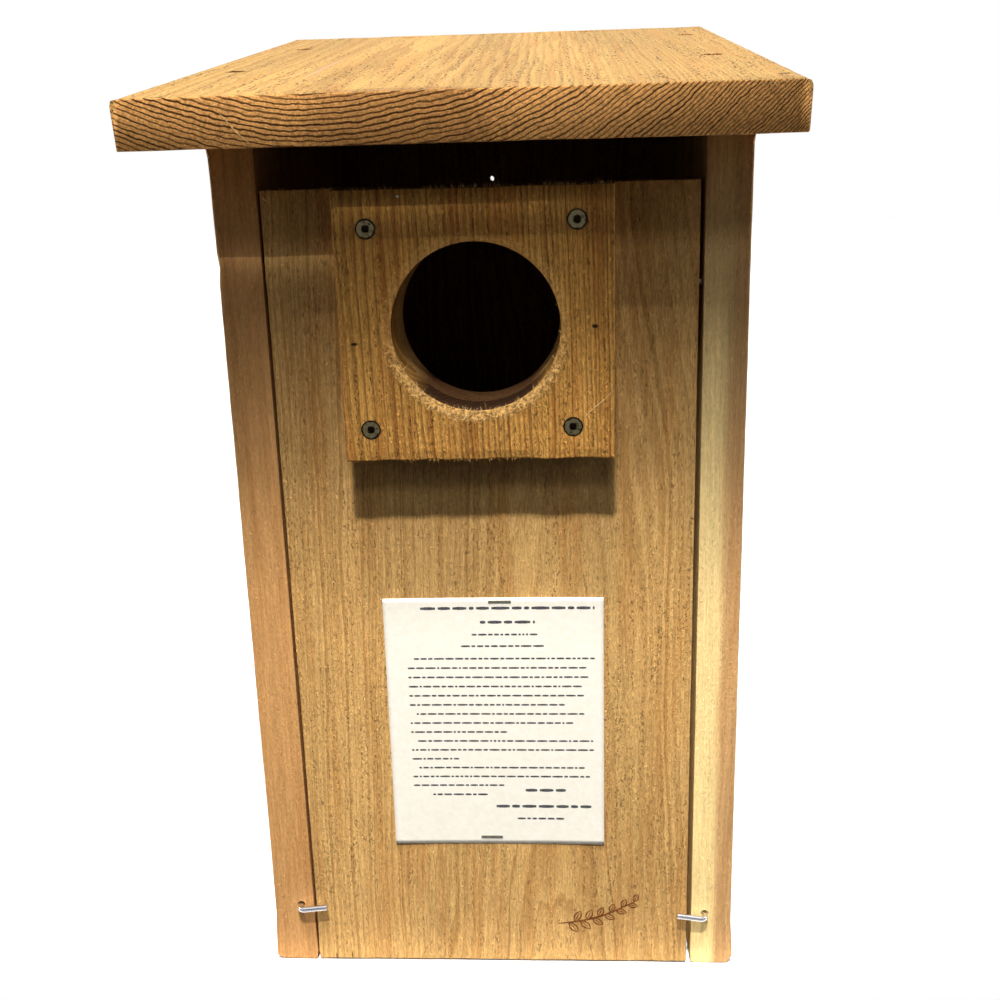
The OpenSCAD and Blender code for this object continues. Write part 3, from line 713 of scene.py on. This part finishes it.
rim_fibres()
left, out, foot = block_low / MM + (2, 0.9, 0.9)
right, head = block_high[0] / MM - 2, block_high[2] / MM - 0.4
edge_fibres("block_foot_fibres", (-38, out, foot + 0.3), (16, out, foot + 0.3), 170, (0, -0.12, -0.55),
            0.35, 1.9, "front", 3, HUNG)
edge_fibres("block_foot_fuzz", (left, out, foot), (right, out, foot), 110, (0, -0.12, -0.5), 0.3, 1.4,
            "front", 5, HUNG)
edge_fibres("block_head_fibres", (left, out, head), (right, out, head), 130, (0, -0.1, 0.8), 0.4, 1.8,
            "front", 4)
edge_fibres("roof_edge_fibres", on_roof(104, -45.4, 20.6), on_roof(124, -45.4, 20.6), 46,
            (0.25, -0.45, -0.5), 0.35, 3.4, "box", 9)
edge_fibres("roof_front_fuzz", on_roof(-140, -45.6, 20.5), on_roof(132, -45.6, 20.5), 240,
            (0.1, -0.4, 0.25), 0.5, 1.3, "box", 10)
edge_fibres("front_foot_fibres", (-98, -152.2, 1.4), (97, -152.2, 1.4), 120, (0, -0.25, -0.5), 0.3, 1.6,
            "front", 12)
edge_fibres("front_head_fibres", (-99, -152.0, 412.0), (-66, -152.0, 412.0), 60, (0.1, -0.2, 0.6), 0.4, 1.5,
            "front", 13)


def splinter(name, points, width, body):
    """A flat sliver of pale wood through points in mm: a tube, half width across and a third of that deep,
    its size multiplied by sqrt(sin(pi t)) so that it runs out at both ends.
    """
    rings, sides = 17, 6
    path = np.array(points, float) * MM
    t = np.linspace(0, 1, rings)
    middle = np.stack([np.interp(t, np.linspace(0, 1, len(path)), path[:, i]) for i in range(3)], 1)
    size = width * MM * np.sin(np.pi * np.clip(t, 0.02, 0.98))[:, None, None] ** 0.5
    run = np.gradient(middle, axis=0)
    run /= np.linalg.norm(run, axis=1, keepdims=True)
    side = np.cross(run, (0, 1, 0))
    turn = np.arange(sides) * 2 * np.pi / sides
    deep = np.array([0, 0.34, 0])
    ring = side[:, None] * np.cos(turn)[None, :, None] + deep * np.sin(turn)[None, :, None]
    verts = (middle[:, None] + ring * size).reshape(-1, 3)
    root, tip = np.arange(sides)[::-1], np.arange(sides) + (rings - 1) * sides
    piece = mesh_piece(name, verts, [*grid_faces(rings, sides, wrap=True), root, tip], TORN)
    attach(piece, body)


splinter("front_corner_splinter", [(-100.0, -152.7, 411.6), (-98.2, -153.0, 408.8), (-95.6, -152.9, 406.4)],
         0.45, "front")
splinter("block_scratch", [np.array(on_block(x, z)) - (0, 0.05, 0) for x, z in
                           ((47.5, -42.5), (52.5, -37.5), (57.6, -33.4), (61.6, -29.2))],
         0.16, "front")
splinter("roof_end_crack", [on_roof(x, -46.2, n) for x, n in
                            ((-101.5, 14.5), (-98.2, 10.0), (-94.8, 5.9), (-90.2, 1.8))],
         0.26, "box")


# ------------------------------------------------------------------ the card

def card_face(x, z):
    """The card's front face, y in metres: close at the staples, and lifted about 0.7 mm at its corners.

    With u and v from -1 to 1 across and up the card, the lift is a |u|^2.6 (b + (1 - b) v^2), plus a swell
    and a sine wave that both fade as 1 - v^2.
    """
    across = 2 * (x - card_low[0]) / (card_high[0] - card_low[0]) - 1
    up = 2 * (z - card_low[2]) / (card_high[2] - card_low[2]) - 1
    lift = 0.75 * np.abs(across) ** 2.6 * (0.35 + 0.65 * np.abs(up) ** 2) + 0.10 * (1 - up ** 2)
    wave = 0.10 * np.sin(3.1 * across + 1.4 * up) * (1 - up ** 2)
    return card_low[1] - (lift + wave) * MM * 0.9


def card():
    """The sheet: a grid over the card's outline at y = card_face(x, z), as thick as heavy paper."""
    x, z = np.meshgrid(np.linspace(card_low[0], card_high[0], 49),
                       np.linspace(card_low[2], card_high[2], 61))
    verts = np.stack([x, card_face(x, z), z], -1).reshape(-1, 3)
    piece = mesh_piece("paper_card_sheet", verts, grid_faces(61, 49), PAPER, closed=False)
    thick = piece.modifiers.new("thickness", "SOLIDIFY")
    thick.thickness = 0.16 * MM
    thick.offset = -1
    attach(piece, "front")
    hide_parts("paper_card")


# Rows of print: left and right ends as shares of the card's width, place as a share of its height from the
# top, and the height of the print in mm.
HEADING = [(0.17, 0.96, 0.040, 1.6), (0.44, 0.69, 0.094, 1.6), (0.40, 0.70, 0.142, 1.0),
           (0.35, 0.74, 0.187, 1.0)]
ENDS = [0.96, 0.93, 0.93, 0.90, 0.91, 0.82, 0.91, 0.86, 0.55, 0.95, 0.96, 0.32, 0.91, 0.94, 0.53]
BODY = [(0.13 if i in (0, 6, 9, 12) else 0.10, end, 0.236 + 0.0368 * i, 0.95) for i, end in enumerate(ENDS)]
CLOSING = [(0.19, 0.45, 0.790, 1.05), (0.63, 0.82, 0.772, 1.7), (0.49, 0.94, 0.840, 1.7),
           (0.59, 0.81, 0.892, 1.1)]


def print_rows():
    """The print, as plain bars, one a word: four columns of two points each, a hair in front of the card's
    face. With u from -1 to 1 along a bar, its half height is h (1 - 0.3 u^6).
    """
    rng = np.random.default_rng(21)
    width, tall = card_high[0] - card_low[0], card_high[2] - card_low[2]
    bars, columns = [], 4
    for first, last, down, size in HEADING + BODY + CLOSING:
        ends = first * width + np.concatenate([[0], np.cumsum(rng.uniform(1.8, 6.5, 80))]) * size * MM
        start, stop = ends[:-1], np.minimum(ends[1:] - 0.75 * size * MM, last * width)
        keep = stop - start > 0.8 * MM
        base = np.full(keep.sum(), card_high[2] - down * tall)
        bars.append(np.stack([start[keep], stop[keep], base, np.full(keep.sum(), size * MM / 2)], 1))
    x0, x1, z, half = np.concatenate(bars).T
    t = np.linspace(0, 1, columns)[None]
    x = (x0 + card_low[0])[:, None] + (x1 - x0)[:, None] * t
    shape = half[:, None] * (1 - 0.3 * (2 * t - 1) ** 6)
    edges = []
    for up in (-1, 1):
        at = z[:, None] + up * shape
        edges.append(np.stack([x, card_face(x, at) - 0.05 * MM, at], -1))
    verts = np.stack(edges, 1).reshape(-1, 3)
    first = np.arange(len(x0))[:, None, None] * 2 * columns
    faces = (first + grid_faces(2, columns)[None]).reshape(-1, 4)
    piece = mesh_piece("card_print_bars", verts, faces, TONER, smooth=False, closed=False)
    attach(piece, "front")


card()
print_rows()


# ------------------------------------------------------------------ the burnt sprig

def sprig():
    """A scorched twig low on the front: a bowed stem and almond leaves, drawn in ribbons that swell midway.

    The stem is (x, z) = start + (run t, rise t + bow sin(pi t)). A leaf at t leaves it at an angle; its two
    sides are l s along and +-b sin(pi s) across for s in 0..1.
    """
    steps = 25
    t = np.linspace(0, 1, steps)
    start, run, rise, bow = np.array([30.5, 24.5]), 42.0, 14.5, -3.2
    stem = start + np.stack([run * t, rise * t + bow * np.sin(np.pi * t)], 1)
    strokes = [(stem, 0.6)]
    for i, at in enumerate(np.linspace(0.14, 0.97, 12)):
        root = start + np.array([run * at, rise * at + bow * np.sin(np.pi * at)])
        slope = math.atan2(rise + bow * np.pi * math.cos(np.pi * at), run)
        lean = slope + (0.95 if i % 2 else -0.95) * (1.1 - 0.45 * at)
        long, broad = 8.2 - 3.2 * at, 1.75 - 0.5 * at
        along = np.array([math.cos(lean), math.sin(lean)])
        across = np.array([-along[1], along[0]])
        s = t[:, None]
        for sign in (-1, 1):
            strokes.append((root + along * long * s + across * sign * broad * np.sin(np.pi * s), 0.42))
        strokes.append((root + along * long * 0.8 * s, 0.26))
    path = np.stack([line for line, _ in strokes])
    half = np.array([size for _, size in strokes])[:, None, None]
    heading = np.gradient(path, axis=1)
    heading /= np.linalg.norm(heading, axis=2, keepdims=True)
    side = np.stack([-heading[..., 1], heading[..., 0]], -1)
    width = half * (0.45 + 0.55 * np.sin(np.pi * t)[None, :, None])
    flat = np.stack([path - side * width, path + side * width], 1)
    lift = np.linspace(0.03, 0.05, len(strokes))[:, None, None] * np.ones(flat.shape[:3])
    verts = np.stack([flat[..., 0] * MM, FACE_Y - lift * MM, flat[..., 1] * MM], -1).reshape(-1, 3)
    first = np.arange(len(strokes))[:, None, None] * 2 * steps
    faces = (first + grid_faces(2, steps)[None]).reshape(-1, 4)
    piece = mesh_piece("burnt_sprig", verts, faces, SCORCH, smooth=False, closed=False)
    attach(piece, "front")


sprig()
